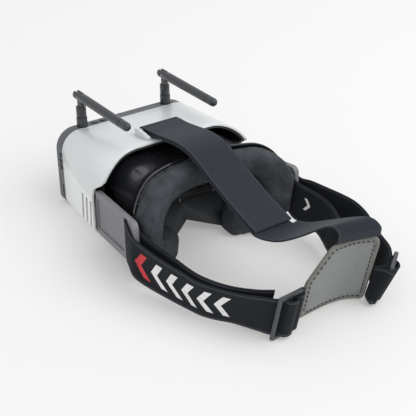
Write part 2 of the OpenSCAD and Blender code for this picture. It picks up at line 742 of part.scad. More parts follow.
module side_strap(s, foot, turn, top, low, back_top, back_low) {
    bar = slider_w / 2;
    arm_top = slot_z[1] - (slot_z[1] - slot_z[0] - web_w) / 2;
    edges = [for (e = [[slider_h - web_low, top, arm_top, back_top], [web_low, low, arm_top - web_w, back_low]])
             concat(turn_edge(foot, turn, bar_turn, bar, s, e[0]), e[1],
                    [for (p = arm_turn) by_arm(s, p[0], p[1], e[2] - p[2])], e[3])];
    color("#2e3238") upright() strip(smooth(edges[0], 3), smooth(edges[1], 3), web_t);
}

// Three-bar slider buckle standing on its foot, turned to a heading and leaning back
module slider(foot, turn) {
    gap = (slider_w - 3 * slider_bar) / 2;
    color("#3d3f42") upright() translate([foot[0], foot[1], slider_base]) rotate([0, 0, turn[0]])
        rotate([turn[1], 0, 0]) difference() {
            translate([0, -slider_t / 2, 0]) cube([slider_w, slider_t, slider_h]);
            for (x = [slider_bar, 2 * slider_bar + gap])
                translate([x, -slider_t, slider_bar]) cube([gap, 2 * slider_t, slider_h - 2 * slider_bar]);
        }
}

// Height of the top edge of the pad along it: a long slope at the left, a short one at the right corner
function pad_crest(u) = pad_end + (pad_top - pad_end) * min(1, u / 0.34, 0.8 + (1 - u) / 0.3);

module back_pad() {
    line = smooth(pad_line, 5);
    m = len(line) - 1;
    low = [for (p = line) [p[0], p[1] + pad_low * pad_lean, pad_low]];
    top = [for (i = [0:m]) let (z = pad_crest(i / m)) [line[i][0], line[i][1] + z * pad_lean, z]];
    color("#6f7270") upright() strip(top, low, pad_t);
}

// Place on a slider: across it from its near bar, out from its middle plane and up along it
function on_slider(foot, turn, across, out, up) =
    let (d = out * cos(turn[1]) + up * sin(turn[1]))
    [foot[0] + across * cos(turn[0]) + d * sin(turn[0]), foot[1] + across * sin(turn[0]) - d * cos(turn[0]),
     slider_base + up * cos(turn[1]) - out * sin(turn[1])];

// Edge of a turn of webbing round a bar; way says which side the sewn end lies on
function turn_edge(foot, turn, line, bar, way, up) =
    [for (p = line) on_slider(foot, turn, bar + way * p[0], p[1], up)];

// Webbing loops that join the ends of the pad to the outer bars of the sliders
module pad_loop(foot, turn, bar, way, sewn) {
    edges = [for (up = [slider_h - web_low, web_low]) concat([sewn[0] + [0, up * pad_lean, min(up, pad_end - 1)]],
             turn_edge(foot, turn, end_turn, bar, way, up), [sewn[1] + [0, up * pad_lean, min(up, pad_end - 1)]])];
    color("#2e3238") upright() strip(smooth(edges[0], 3), smooth(edges[1], 3), web_t);
}

module top_strap() {
    line = concat(flap_line, under_line);
    left = [for (p = line) [19, p[0], p[1]]];
    right = [for (p = line) [-19, p[0], p[1]]];
    color("#373c45") upright()
        strip(smooth(concat(left, tail_left), 3), smooth(concat(right, tail_right), 3), web_t);
}

front_cover();
display_bezel();
lcd_panel();
screen_gasket();
main_board();
receiver(1);  // receiver_left
receiver(-1);  // receiver_right
battery_cell();
charge_port();
av_jack();
card_reader();
status_led();
module_screws();
antenna_nuts();
power_button();
menu_button();
search_button();
band_button();
channel_button();
antenna_collar(1);  // antenna_collar_left
antenna_collar(-1);  // antenna_collar_right
antenna_stem(1);  // antenna_stem_left
antenna_stem(-1);  // antenna_stem_right
antenna_arm(1);  // antenna_arm_left
antenna_arm(-1);  // antenna_arm_right
antenna_pin(1);  // antenna_pin_left
antenna_pin(-1);  // antenna_pin_right
outer_shell();
inner_housing();
shell_screws();
eye_funnel();
nose_bridge();
fresnel_lens();
lens_retainer();
retainer_screws();
face_foam();
strap_arm(1);  // strap_arm_left
strap_arm(-1);  // strap_arm_right
arm_screws();
top_strap_anchor();
side_strap(1, left_foot, left_turn, left_top, left_low, left_back_top, left_back_low);  // side_strap_left
side_strap(-1, right_foot, right_turn, right_top, right_low, right_back_top, right_back_low);  // side_strap_right
slider(left_foot, left_turn);  // slider_buckle_left
slider(right_foot, right_turn);  // slider_buckle_right
pad_loop(left_foot, left_turn, slider_w - slider_bar / 2, 1, pad_sewn_left);  // pad_loop_left
pad_loop(right_foot, right_turn, slider_bar / 2, -1, pad_sewn_right);  // pad_loop_right
back_pad();
top_strap();
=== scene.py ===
"""Looks of box-style video goggles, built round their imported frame."""

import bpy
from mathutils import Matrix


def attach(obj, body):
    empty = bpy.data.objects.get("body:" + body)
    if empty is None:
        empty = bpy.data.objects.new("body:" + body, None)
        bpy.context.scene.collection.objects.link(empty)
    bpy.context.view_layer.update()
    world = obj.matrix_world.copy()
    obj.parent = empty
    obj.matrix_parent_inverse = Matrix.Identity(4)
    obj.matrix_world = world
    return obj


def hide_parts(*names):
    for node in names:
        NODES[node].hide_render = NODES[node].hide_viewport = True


bl_info = {
    "name": "Video goggles",
    "version": (1, 0, 0),
    "blender": (4, 5, 0),
    "location": "3D View > Sidebar > Goggles",
    "description": "Builds the looks of box-style video goggles round their frame",
    "category": "Object",
}

import math

import bpy
from mathutils import Matrix, Vector

MM = 0.001
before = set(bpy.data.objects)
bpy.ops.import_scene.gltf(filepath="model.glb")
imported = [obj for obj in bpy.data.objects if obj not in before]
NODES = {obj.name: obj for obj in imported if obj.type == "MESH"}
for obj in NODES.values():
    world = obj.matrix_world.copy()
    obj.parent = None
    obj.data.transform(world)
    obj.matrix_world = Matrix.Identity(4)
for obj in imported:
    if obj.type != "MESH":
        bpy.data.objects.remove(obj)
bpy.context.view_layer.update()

# Where the front lower edge of the body stands, and the slope the body is tipped by
FRONT = Vector((11.834, -134.97, 0.0))
TILT = math.radians(8.5)
DROP = 2.0 * math.sin(TILT)

# Millimetres: width of all the webbing, size of its loose fibres and half the width of an edge line
WEB, FIBRE, LINE_HALF = 38.0, 2.2, 0.7
# Millimetres between the drawn rings of the lens
RING_PITCH = 1.5


# ---- colour and nodes ----


def linear(code):
    """An sRGB hex colour as linear red, green, blue and alpha."""
    parts = [int(code[i : i + 2], 16) / 255 for i in (0, 2, 4)]
    return [p / 12.92 if p <= 0.04045 else ((p + 0.055) / 1.055) ** 2.4 for p in parts] + [1.0]


def shade(colour, share):
    """A colour property made that share brighter or darker, with alpha."""
    return [min(1.0, c * share) for c in colour] + [1.0]


def rgba(colour):
    """A hex code or a ready colour, as linear red, green, blue and alpha."""
    return linear(colour) if isinstance(colour, str) else colour


def add(tree, kind, inputs, **settings):
    """Adds a node with its settings; each input is a value or the socket it is linked from."""
    node = tree.nodes.new(kind)
    for key, value in settings.items():
        setattr(node, key, value)
    for key, value in inputs.items():
        if isinstance(value, bpy.types.NodeSocket):
            tree.links.new(value, node.inputs[key])
        else:
            node.inputs[key].default_value = value
    return node


def blank(name, **shader_values):
    """A new material, its node tree and its shader with uniform values set on the sockets."""
    material = bpy.data.materials.new(name)
    material.use_nodes = True
    tree = material.node_tree
    tree.nodes.clear()
    shader = add(tree, "ShaderNodeBsdfPrincipled", {k.replace("_", " "): v for k, v in shader_values.items()})
    add(tree, "ShaderNodeOutputMaterial", {"Surface": shader.outputs["BSDF"]})
    return material, tree, shader


def moulded(name, dark, light, roughness, grain_mm=0.9, grain_depth=0.03, patch_mm=18.0, metallic=0.0,
            coat=0.0):
    """A moulded or cast surface: soft patches between two close colours, and a fine grain."""
    material, tree, shader = blank(name, Metallic=metallic, Coat_Weight=coat)
    place = add(tree, "ShaderNodeTexCoord", {}).outputs["Object"]
    patch = add(tree, "ShaderNodeTexNoise", {"Vector": place, "Scale": 1 / (patch_mm * MM), "Detail": 3.0})
    grain = add(tree, "ShaderNodeTexNoise", {"Vector": place, "Scale": 1 / (grain_mm * MM), "Detail": 2.0})
    tone = add(tree, "ShaderNodeMath", {0: patch.outputs["Fac"], 1: grain.outputs["Fac"]}, operation="ADD")
    half = add(tree, "ShaderNodeMapRange", {"Value": tone.outputs[0], "From Min": 0.7, "From Max": 1.3})
    colour = add(tree, "ShaderNodeMix", {0: half.outputs[0], 6: rgba(dark), 7: rgba(light)},
                 data_type="RGBA")
    rough = add(tree, "ShaderNodeMapRange", {"Value": patch.outputs["Fac"], "From Min": 0.3, "From Max": 0.7,
                                             "To Min": roughness - 0.05, "To Max": roughness + 0.05})
    bump = add(tree, "ShaderNodeBump", {"Height": grain.outputs["Fac"], "Distance": grain_depth * MM,
                                        "Strength": 0.6})
    tree.links.new(colour.outputs[2], shader.inputs["Base Color"])
    tree.links.new(rough.outputs[0], shader.inputs["Roughness"])
    tree.links.new(bump.outputs["Normal"], shader.inputs["Normal"])
    return material


def woven(name, dark, light, edge, rib_mm, edge_line, sheen):
    """Webbing or tape mapped by its length and width in metres, with ribs, picks and edge lines."""
    material, tree, shader = blank(name, Roughness=0.9, Specular_IOR_Level=0.25, Sheen_Weight=sheen,
                                   Sheen_Roughness=0.5)
    place = add(tree, "ShaderNodeUVMap", {}, uv_map="cloth")
    split = add(tree, "ShaderNodeSeparateXYZ", {"Vector": place.outputs["UV"]})
    turn = 2 * math.pi / (rib_mm * MM)
    waves = []
    for axis, scale in (("X", turn * 0.8), ("Y", turn)):
        angle = add(tree, "ShaderNodeMath", {0: split.outputs[axis], 1: scale}, operation="MULTIPLY")
        waves.append(add(tree, "ShaderNodeMath", {0: angle.outputs[0]}, operation="SINE"))
    weave = add(tree, "ShaderNodeMath", {0: waves[0].outputs[0], 1: waves[1].outputs[0]},
                operation="MULTIPLY")
    fibre = add(tree, "ShaderNodeTexNoise", {"Vector": place.outputs["UV"], "Scale": 1 / (FIBRE * MM),
                                             "Detail": 4.0})
    tone = add(tree, "ShaderNodeMath", {0: weave.outputs[0], 1: 0.28, 2: fibre.outputs["Fac"]},
               operation="MULTIPLY_ADD")
    body = add(tree, "ShaderNodeMix", {0: tone.outputs[0], 6: rgba(dark), 7: rgba(light)}, data_type="RGBA")
    middle = add(tree, "ShaderNodeMath", {0: split.outputs["Y"], 1: WEB / 2 * MM}, operation="SUBTRACT")
    side = add(tree, "ShaderNodeMath", {0: middle.outputs[0]}, operation="ABSOLUTE")
    line = add(tree, "ShaderNodeMath", {0: side.outputs[0], 1: (WEB / 2 - edge_line) * MM, 2: LINE_HALF * MM},
               operation="COMPARE")
    soft = add(tree, "ShaderNodeMath", {0: line.outputs[0], 1: 0.55}, operation="MULTIPLY")
    colour = add(tree, "ShaderNodeMix", {0: soft.outputs[0], 6: body.outputs[2], 7: rgba(edge)},
                 data_type="RGBA")
    bump = add(tree, "ShaderNodeBump", {"Height": tone.outputs[0], "Distance": 0.25 * MM, "Strength": 0.7})
    tree.links.new(colour.outputs[2], shader.inputs["Base Color"])
    tree.links.new(bump.outputs["Normal"], shader.inputs["Normal"])
    return material


# Height of the crease on the shell's sides at its front, and its fall towards the rear
CREASE_HEIGHT, CREASE_FALL, CREASE_SLOPE = 46.5, 0.14, 0.3


def creased_with_painted_light(material):
    """Turns the sides of the shell below their crease a little towards the sky, and makes them paler there
    with painted light.
    """
    tree = material.node_tree
    shader = next(n for n in tree.nodes if n.type == "BSDF_PRINCIPLED")
    grain = next(n for n in tree.nodes if n.type == "BUMP")
    place = add(tree, "ShaderNodeTexCoord", {}).outputs["Object"]
    c, s = math.cos(TILT), math.sin(TILT)
    down = Vector((0, s - CREASE_FALL * c, -c - CREASE_FALL * s))
    start = CREASE_HEIGHT * MM - down.dot((FRONT - Vector((0, 0, DROP))) * MM)
    depth = add(tree, "ShaderNodeVectorMath", {0: place, 1: down}, operation="DOT_PRODUCT")
    below = add(tree, "ShaderNodeMath", {0: depth.outputs["Value"], 1: start}, operation="ADD")
    kept = add(tree, "ShaderNodeMath", {0: below.outputs[0], 1: 0.0}, operation="MAXIMUM")
    height = add(tree, "ShaderNodeMath", {0: kept.outputs[0], 1: CREASE_SLOPE}, operation="MULTIPLY")
    bump = add(tree, "ShaderNodeBump", {"Height": height.outputs[0], "Distance": 1.0, "Strength": 1.0,
                                        "Normal": grain.outputs["Normal"]})
    tree.links.new(bump.outputs["Normal"], shader.inputs["Normal"])
    plain = shader.inputs["Base Color"].links[0].from_socket
    # Painted light: below the crease the sides are mixed towards a paler grey, for the light they catch there
    share = add(tree, "ShaderNodeMapRange", {"Value": below.outputs[0], "From Max": 0.8 * MM, "To Max": 0.6})
    colour = add(tree, "ShaderNodeMix", {0: share.outputs[0], 6: plain, 7: linear("F4F5F4")},
                 data_type="RGBA")
    tree.links.new(colour.outputs[2], shader.inputs["Base Color"])
    return material


def make_materials(look):
    """Every finish of the goggles, by the name the pieces ask for."""
    clear, tree, shader = blank("Clear acrylic", Base_Color=linear("EEF3F4"), Roughness=0.08,
                                Transmission_Weight=0.9, IOR=1.49)
    # Moulded rings too fine to see are drawn further apart, so the lens shows as ribbed
    place = add(tree, "ShaderNodeTexCoord", {}).outputs["Object"]
    rings = add(tree, "ShaderNodeTexWave", {"Vector": place, "Scale": 1 / (6 * RING_PITCH * MM)},
                wave_type="RINGS", rings_direction="Y")
    bump = add(tree, "ShaderNodeBump", {"Height": rings.outputs["Fac"], "Distance": 0.1 * MM})
    tree.links.new(bump.outputs["Normal"], shader.inputs["Normal"])
    lamp = moulded("Clear polycarbonate", "C9D6E8", "DDE7F5", 0.2)
    return {
        # Light silver-grey ABS: an even, slightly cool grey with a satin skin; painted light makes the sides
        # paler below their crease
        "shell": creased_with_painted_light(moulded("Silver grey ABS", shade(look.shell_colour, 0.96),
                                 shade(look.shell_colour, 1.04), 0.36, 0.7, 0.02, 40.0, coat=0.15)),
        # Dark grey ABS with a fine spark texture, duller than the shell
        "rim": moulded("Dark grey ABS", shade(look.rim_colour, 0.88), shade(look.rim_colour, 1.12),
                       0.48, 0.6, 0.05),
        # Antenna sleeve: satin polypropylene, nearly black with a soft shine
        "sleeve": moulded("Satin polypropylene", "2B2D30", "393B3F", 0.32, 0.8, 0.02, 10.0, coat=0.15),
        # Polished black ABS: deep black with clear highlights
        "black": moulded("Polished black ABS", "18191C", "202125", 0.26, 1.5, 0.01, 30.0, coat=0.5),
        # Nose plate: eroded black ABS that turns dark grey in the light
        "plate": moulded("Eroded black ABS", "1D2023", "2A2E32", 0.5, 0.8, 0.05),
        # Mid grey nylon of the arms, with a visible moulded grain
        "arm": moulded("Grey nylon", "737376", "818184", 0.55, 0.7, 0.08),
        # Acetal buckle: dark grey with a waxy shine
        "buckle": moulded("Dark acetal", "3A3C3F", "47494C", 0.4, 0.8, 0.04, 9.0),
        # Knitted elastic side strap with lighter lines along both edges
        "webbing": woven("Elastic webbing", shade(look.webbing_colour, 0.6), shade(look.webbing_colour, 1.3),
                         "4C515A", 1.6, 1.6, 0.05),
        # Brushed loop tape: the pile gives a soft, slightly lighter face
        "loop_tape": woven("Brushed loop tape", "1B1F25", "2C313A", "363B44", 2.2, 1.0, 0.12),
        # Brushed knit over foam: dark, rough and speckled
        "knit": moulded("Brushed knit", "202226", "474B51", 0.92, 0.8, 0.3, 12.0),
        # Coated leather of the pad: mid grey with a broad sheen and faint creases
        "leather": moulded("Coated leather", shade(look.leather_colour, 0.85),
                           shade(look.leather_colour, 1.1), 0.3, 2.4, 0.02, 34.0, coat=0.35),
        # Folded binding tape round the pad, duller and browner
        "binding": moulded("Binding tape", "66665F", "7C7C76", 0.7, 0.8, 0.06, 8.0),
        "thread": moulded("Dark sewing thread", "24262A", "303338", 0.75, 0.5, 0.1, 3.0),
        # Screen-printed ink sits on the ribs, so it is slightly broken up
        "red_ink": moulded("Red print ink", "B32A33", "D8404A", 0.7, 0.8, 0.1, 4.0),
        "white_ink": moulded("White print ink", "D9D9D9", "F4F4F4", 0.7, 0.8, 0.1, 4.0),
        "board": moulded("Green solder mask", "123F28", "1E5A3A", 0.35, 2.0, 0.05, 6.0),
        "shield": moulded("Tinned steel", "A9ACAF", "C6C8CA", 0.3, 1.2, 0.02, 8.0, metallic=1.0),
        "brass": moulded("Plated brass", "B4924A", "CBAA5E", 0.3, 1.0, 0.02, 5.0, metallic=1.0),
        "screw": moulded("Blackened steel", "26272A", "3A3B3E", 0.4, 1.0, 0.02, 5.0, metallic=1.0),
        "cell": moulded("Film-wrapped cell", "84909C", "98A3AD", 0.3, 2.0, 0.05, 12.0),
        "panel": moulded("Liquid crystal panel", "08090B", "101216", 0.12, 3.0, 0.01, 20.0),
        "seal": moulded("Foam rubber", "151515", "202020", 0.9, 0.6, 0.2, 6.0),
        "lens": clear,
        "lamp": lamp,
    }


FINISH = {}


def finish(obj, name):
    """Gives a piece its one finish."""
    obj.data.materials.clear()
    obj.data.materials.append(FINISH[name])


# ---- pieces from the frame ----


def soften(node, name, edge=0.4, angle=32.0):
    """Gives a frame node its finish, rounds its sharp edges a little and shades it smooth between them."""
    obj = NODES[node]
    finish(obj, name)
    weld = obj.modifiers.new("Weld", "WELD")
    weld.merge_threshold = 0.002 * MM
    if edge:
        bevel = obj.modifiers.new("Edge", "BEVEL")
        bevel.width = edge * MM
        bevel.segments = 2
        bevel.limit_method = "ANGLE"
        bevel.angle_limit = math.radians(angle)
        bevel.harden_normals = True
    for polygon in obj.data.polygons:
        polygon.use_smooth = True
    split = obj.modifiers.new("Crease", "EDGE_SPLIT")
    split.split_angle = math.radians(angle)
    split.use_edge_sharp = False
    return obj


# ---- shapes ----


def row(point):
    """A place in millimetres from the front edge, in the row frame in metres."""
    return (Vector(point) + FRONT) * MM


def curve_through(points, steps):
    """A smooth curve through points, with that many steps between each two."""
    line = [Vector(p) for p in points]
    last = len(line) - 1
    out = []
    for i in range(last):
        a, b, c, d = line[max(i - 1, 0)], line[i], line[i + 1], line[min(i + 2, last)]
        for k in range(steps):
            t = k / steps
            out.append(0.5 * (2 * b + (c - a) * t + (2 * a - 5 * b + 4 * c - d) * t**2
                              + (3 * b - a - 3 * c + d) * t**3))
    return out + [line[-1]]


def lay_mesh(name, points, faces, maps=None):
    """A new object from points and faces, with a map of its length and width if it is given."""
    mesh = bpy.data.meshes.new(name)
    mesh.from_pydata(points, [], faces)
    if maps:
        layer = mesh.uv_layers.new(name="cloth")
        for loop in mesh.loops:
            layer.data[loop.index].uv = maps[loop.vertex_index]
    for polygon in mesh.polygons:
        polygon.use_smooth = True
    obj = bpy.data.objects.new(name, mesh)
    bpy.context.scene.collection.objects.link(obj)
    return obj


class Ribbon:
    """Webbing between an upper and a lower edge, which knows its length and its sides."""

    def __init__(self, top, low, steps=4):
        self.top = [row(p) for p in curve_through(top, steps)]
        self.low = [row(p) for p in curve_through(low, steps)]
        self.run = [0.0]
        for i in range(1, len(self.top)):
            a = (self.top[i - 1] + self.low[i - 1]) / 2
            self.run.append(self.run[-1] + ((self.top[i] + self.low[i]) / 2 - a).length)

    def length(self):
        """Length of the webbing along its middle."""
        return self.run[-1]

    def at(self, along, across, lift=0.0):
        """A point that far along the webbing and that share of the way up, lifted off its middle."""
        along = min(max(along, 0.0), self.run[-1] - 1e-6)
        i = max(k for k in range(len(self.run) - 1) if self.run[k] <= along)
        t = (along - self.run[i]) / (self.run[i + 1] - self.run[i])
        top, low = self.top[i].lerp(self.top[i + 1], t), self.low[i].lerp(self.low[i + 1], t)
        ahead = (self.top[i + 1] + self.low[i + 1]) - (self.top[i] + self.low[i])
        return low.lerp(top, across) + ahead.cross(top - low).normalized() * lift

    def mesh(self, name, thickness, across=8):
        """The webbing as an object of that thickness, mapped by its length and width."""
        points, maps, faces = [], [], []
        for i, (top, low) in enumerate(zip(self.top, self.low)):
            for j in range(across + 1):
                points.append(low.lerp(top, j / across))
                maps.append((self.run[i], WEB * MM * j / across))
        n = across + 1
        for i in range(len(self.top) - 1):
            for j in range(across):
                k = i * n + j
                faces.append((k, k + 1, k + n + 1, k + n))
        obj = lay_mesh(name, points, faces, maps)
        solid = obj.modifiers.new("Thickness", "SOLIDIFY")
        solid.thickness = thickness
        solid.offset = 0.0
        return obj


def tube_round(name, line, normals, wide, thick, sides=10):
    """A rounded tape swept round a closed line: wide across the normals and thick along them."""
    points, faces = [], []
    count = len(line)
    for i in range(count):
        ahead = (line[(i + 1) % count] - line[i - 1]).normalized()
        across = normals[i].cross(ahead).normalized()
        for k in range(sides):
            a = 2 * math.pi * k / sides
            points.append(line[i] + across * math.cos(a) * wide + normals[i] * math.sin(a) * thick)
    for i in range(count):
        for k in range(sides):
            a, b = i * sides, ((i + 1) % count) * sides
            faces.append((a + k, a + (k + 1) % sides, b + (k + 1) % sides, b + k))
    return lay_mesh(name, points, faces)


# Rings of one stitch: place along it and thickness, as shares of its length and its radius
THREAD_RINGS = ((-0.5, 0.25), (-0.3, 1.0), (0.3, 1.0), (0.5, 0.25))


def stitches(name, line, normals, length, gap, radius):
    """A row of sewn stitches along a line, each a short thread that dips at its ends."""
    points, faces = [], []
    since = gap
    for i in range(1, len(line)):
        since += (line[i] - line[i - 1]).length
        if since < length + gap:
            continue
        since = 0.0
        ahead = (line[i] - line[i - 1]).normalized()
        up = normals[i]
        side = up.cross(ahead).normalized()
        base = len(points)
        for at, swell in THREAD_RINGS:
            for k in range(5):
                a = 2 * math.pi * k / 5
                spoke = (side * math.cos(a) + up * math.sin(a)) * radius * swell
                points.append(line[i] + ahead * at * length + spoke)
        for ring in range(3):
            for k in range(5):
                a, b = base + ring * 5, base + ring * 5 + 5
                faces.append((a + k, a + (k + 1) % 5, b + (k + 1) % 5, b + k))
        faces.append(tuple(base + k for k in (4, 3, 2, 1, 0)))
        faces.append(tuple(base + 15 + k for k in range(5)))
    return lay_mesh(name, points, faces)


# ---- webbing routes, in millimetres ----

# Each slider: the foot of its near bar, its heading and its lean in degrees
SLIDER_W, SLIDER_H, SLIDER_BASE = 24.5, 45.0, 0.6
LEFT_SLIDER = ((31.5, 263.7), 182.3, 5.3)
RIGHT_SLIDER = ((-70.3, 273.8), 215.2, 15.7)
ARM_X, ARM_START, ARM_FLARE = 80.6, 80.0, math.radians(6.5)
ARM_WEB_TOP = 41.5
WEB_LOW = 3.5

LEFT_TOP = [(37.5, 256.5, 42), (51, 241, 41), (62, 223.5, 40.5), (69, 212, 41), (74.5, 197, 43),
            (82.5, 178, 47), (88.6, 160, 51.5)]
LEFT_LOW = [(36, 250, 4), (44.5, 233, 2.5), (54, 221, 2), (60.5, 210.5, 1.6), (65, 199, 1.8),
            (72.5, 181, 3.5), (83, 163, 9)]
LEFT_BACK_TOP = [(80.3, 158, 53.8), (77, 170, 50.5), (72, 186, 47.5), (69, 199, 45.5), (65.5, 211, 44.5),
                 (58.5, 225, 44), (49, 237, 43.5), (36, 248, 43), (25, 255, 43)]
LEFT_BACK_LOW = [(79.2, 162, 15.5), (73, 173, 12), (67, 186, 9.5), (63.5, 198, 7.5), (60, 209.5, 6.5),
                 (52.5, 221.5, 6), (42, 233, 5.5), (30, 243, 5), (23, 249, 5)]
RIGHT_TOP = [(-99.5, 258, 42.5), (-104.5, 241, 43.5), (-110, 226, 45), (-114, 213, 46.5), (-114.2, 199, 48.5),
             (-109, 187, 51), (-101.5, 174, 53.5), (-94.5, 161, 55.5)]
RIGHT_LOW = [(-92.5, 246, 4), (-97, 232, 5), (-103, 216, 7), (-107.5, 203, 9), (-109, 192, 11.5),
             (-105.5, 181, 13.5), (-100, 170, 16), (-94.5, 160, 18)]
RIGHT_BACK_TOP = [(-82.5, 158, 55), (-88.5, 171, 52), (-92, 183, 49.5), (-92, 195, 47), (-88, 207, 45.5),
                  (-86.5, 220, 44), (-87, 235, 43.5), (-88.5, 250, 43), (-88.4, 258, 42.5)]
RIGHT_BACK_LOW = [(-82, 160, 17.5), (-87, 171, 15), (-90, 182, 12.5), (-88, 193, 10), (-83.5, 205, 8.5),
                  (-80, 218, 7.5), (-78, 232, 6.5), (-77.5, 244, 5.5), (-78, 250, 5)]
BAR_TURN = [(0, -2.8), (2.7, -2.3), (3.5, 0), (5.6, 2.8), (4.6, 5.3), (0.4, 5.9), (-3.6, 4),
            (-4.6, 0.4), (-6.8, -2.6), (-11, -3.6)]
ARM_TURN = [(156.8, 1.4, 9.6), (148, 1.4, 2.6), (144, 0.8, 0.4), (142.2, -2.5, 0), (144, -5.8, 0.4),
            (148, -6.4, 2.6), (153, -6.4, 7)]
END_TURN = [(2.9, -2.9), (3.1, 0), (2.2, 2.5), (-0.4, 3.1), (-2.6, 2.2), (-3.1, -0.3), (-2.3, -3.1)]
FLAP_LINE = [(218, 74.2), (209, 76), (190, 80.2), (170, 86), (152, 91.5), (137, 97), (122, 100.4),
             (106, 99.8), (90, 96.4), (76, 93), (66, 91.2), (57, 89.6), (53, 89.2), (50.6, 86.8),
             (53.2, 84.1)]
UNDER_LINE = [(58, 85.4), (66, 87.7), (76, 90.4), (90, 93.8), (106, 97.1), (121, 97.7), (136, 94.3),
              (151, 88.8), (170, 83.3), (190, 77.5), (208, 73.3), (218, 70.6)]
TAIL_LEFT = [(12, 228, 69.5), (4, 236, 71.5), (-8, 245, 78), (-19, 254, 86.5), (-25, 259.5, 88),
             (-29, 263, 82), (-30, 262.2, 76), (-30.3, 261.4, 72)]
TAIL_RIGHT = [(-26, 219, 69.5), (-33, 227, 70.5), (-42, 238, 76), (-54, 253, 83.5), (-62, 264, 87),
              (-67, 271, 82), (-68.4, 271.3, 76), (-69, 270.8, 72)]


def on_slider(slider, across, out, up):
    """A place on a slider: across it from its near bar, out from its middle plane and up along it."""
    foot, heading, lean = slider
    c, s = math.cos(math.radians(heading)), math.sin(math.radians(heading))
    cl, sl = math.cos(math.radians(lean)), math.sin(math.radians(lean))
    d = out * cl + up * sl
    return (foot[0] + across * c + d * s, foot[1] + across * s - d * c, SLIDER_BASE + up * cl - out * sl)


def by_arm(side, along, out, up):
    """A place beside a strap arm: along it, out from its outside face and up."""
    run = along - ARM_START
    y = ARM_START + run * math.cos(ARM_FLARE) - out * math.sin(ARM_FLARE)
    x = side * (ARM_X + run * math.sin(ARM_FLARE) + out * math.cos(ARM_FLARE))
    return (x, y * math.cos(TILT) - up * math.sin(TILT), y * math.sin(TILT) + up * math.cos(TILT) - DROP)


def side_edges(side, slider, top, low, back_top, back_low):
    """Both edges of a side strap, from the slider's middle bar round the arm and back."""
    edges = []
    for up, web_top, out, back in ((SLIDER_H - WEB_LOW, ARM_WEB_TOP, top, back_top),
                                   (WEB_LOW, ARM_WEB_TOP - WEB, low, back_low)):
        edges.append([on_slider(slider, SLIDER_W / 2 + side * a, b, up) for a, b in BAR_TURN] + list(out)
                     + [by_arm(side, a, b, web_top - c) for a, b, c in ARM_TURN] + list(back))
    return edges


# ---- pieces ----

HARD = {
    "front_cover": "rim", "display_bezel": "rim", "lcd_panel": "panel", "screen_gasket": "seal",
    "main_board": "board", "receiver_left": "shield", "receiver_right": "shield", "battery_cell": "cell",
    "charge_port": "shield", "av_jack": "black", "card_reader": "shield", "status_led": "lamp",
    "module_screws": "screw", "antenna_nuts": "brass", "power_button": "sleeve", "menu_button": "sleeve",
    "search_button": "sleeve", "band_button": "sleeve", "channel_button": "sleeve",
    "antenna_collar_left": "sleeve", "antenna_collar_right": "sleeve", "antenna_stem_left": "sleeve",
    "antenna_stem_right": "sleeve", "antenna_arm_left": "sleeve", "antenna_arm_right": "sleeve",
    "antenna_pin_left": "shield", "antenna_pin_right": "shield", "outer_shell": "shell",
    "inner_housing": "plate", "shell_screws": "screw", "eye_funnel": "black", "nose_bridge": "plate",
    "fresnel_lens": "lens", "lens_retainer": "plate", "retainer_screws": "shield",
    "strap_arm_left": "arm", "strap_arm_right": "arm", "arm_screws": "screw", "top_strap_anchor": "shell",
    "slider_buckle_left": "buckle", "slider_buckle_right": "buckle",
}
# Rounding of the edges in millimetres, where it isn't the usual one
EDGES = {"slider_buckle_left": 1.1, "slider_buckle_right": 1.1, "strap_arm_left": 0.8, "strap_arm_right": 0.8,
         "fresnel_lens": 0.0, "lcd_panel": 0.0, "outer_shell": 0.5, "eye_funnel": 0.5,
         "antenna_arm_left": 0.8,
         "antenna_arm_right": 0.8, "module_screws": 0.1, "retainer_screws": 0.15, "antenna_pin_left": 0.2,
         "antenna_pin_right": 0.2, "antenna_nuts": 0.1, "charge_port": 0.1, "card_reader": 0.1,
         "status_led": 0.1,
         "screen_gasket": 0.0, "arm_screws": 0.1, "shell_screws": 0.1}


def need(*names):
    """Stops the operator if a node that it builds on isn't in the frame."""
    missing = [n for n in names if n not in NODES]
    if missing:
        raise RuntimeError(f"the frame has no node {', '.join(missing)}")


def settle(obj, body, finish_name, slot_name, *nodes):
    """Gives a new piece its finish and its body, and hides the nodes it stands for; its slot name is not
    used.
    """
    finish(obj, finish_name)
    split = obj.modifiers.new("Crease", "EDGE_SPLIT")
    split.split_angle = math.radians(50)
    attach(obj, body)
    if nodes:
        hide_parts(*nodes)
    return obj


def chevron(ribbon, start, wide, stroke, low, high, lift):
    """Points and faces of one printed chevron that points along the webbing."""
    points, faces = [], []
    steps = 8
    for k in range(steps + 1):
        across = low + (high - low) * k / steps
        nose = wide * (1 - abs(2 * k / steps - 1))
        for extra in (0, stroke / 2, stroke):
            points.append(ribbon.at(start + nose + extra, across, lift))
    for k in range(steps):
        for c in range(2):
            a = 3 * k + c
            faces.append((a, a + 1, a + 4, a + 3))
    return points, faces


def printed(name, ribbon, starts, wide, stroke, low, high, lift):
    """A row of printed chevrons as one thin mesh on the face of the webbing."""
    points, faces = [], []
    for start in starts:
        more, quads = chevron(ribbon, start * MM, wide * MM, stroke * MM, low, high, lift)
        faces += [tuple(len(points) + i for i in q) for q in quads]
        points += more
    return lay_mesh(name, points, faces)


# Millimetres from the fold at the arm to the red chevron, the first white one and the small one
RED_BACK, WHITE_BACK, SMALL_AHEAD = 17, 33, 7
WHITE_PITCH, WHITE_COUNT = 15, 5


def outer_side(side, look):
    """How far a print stands off the middle of the webbing, towards the side that the strap is on."""
    return side * (look.webbing_thickness / 2 + 0.08 * MM)


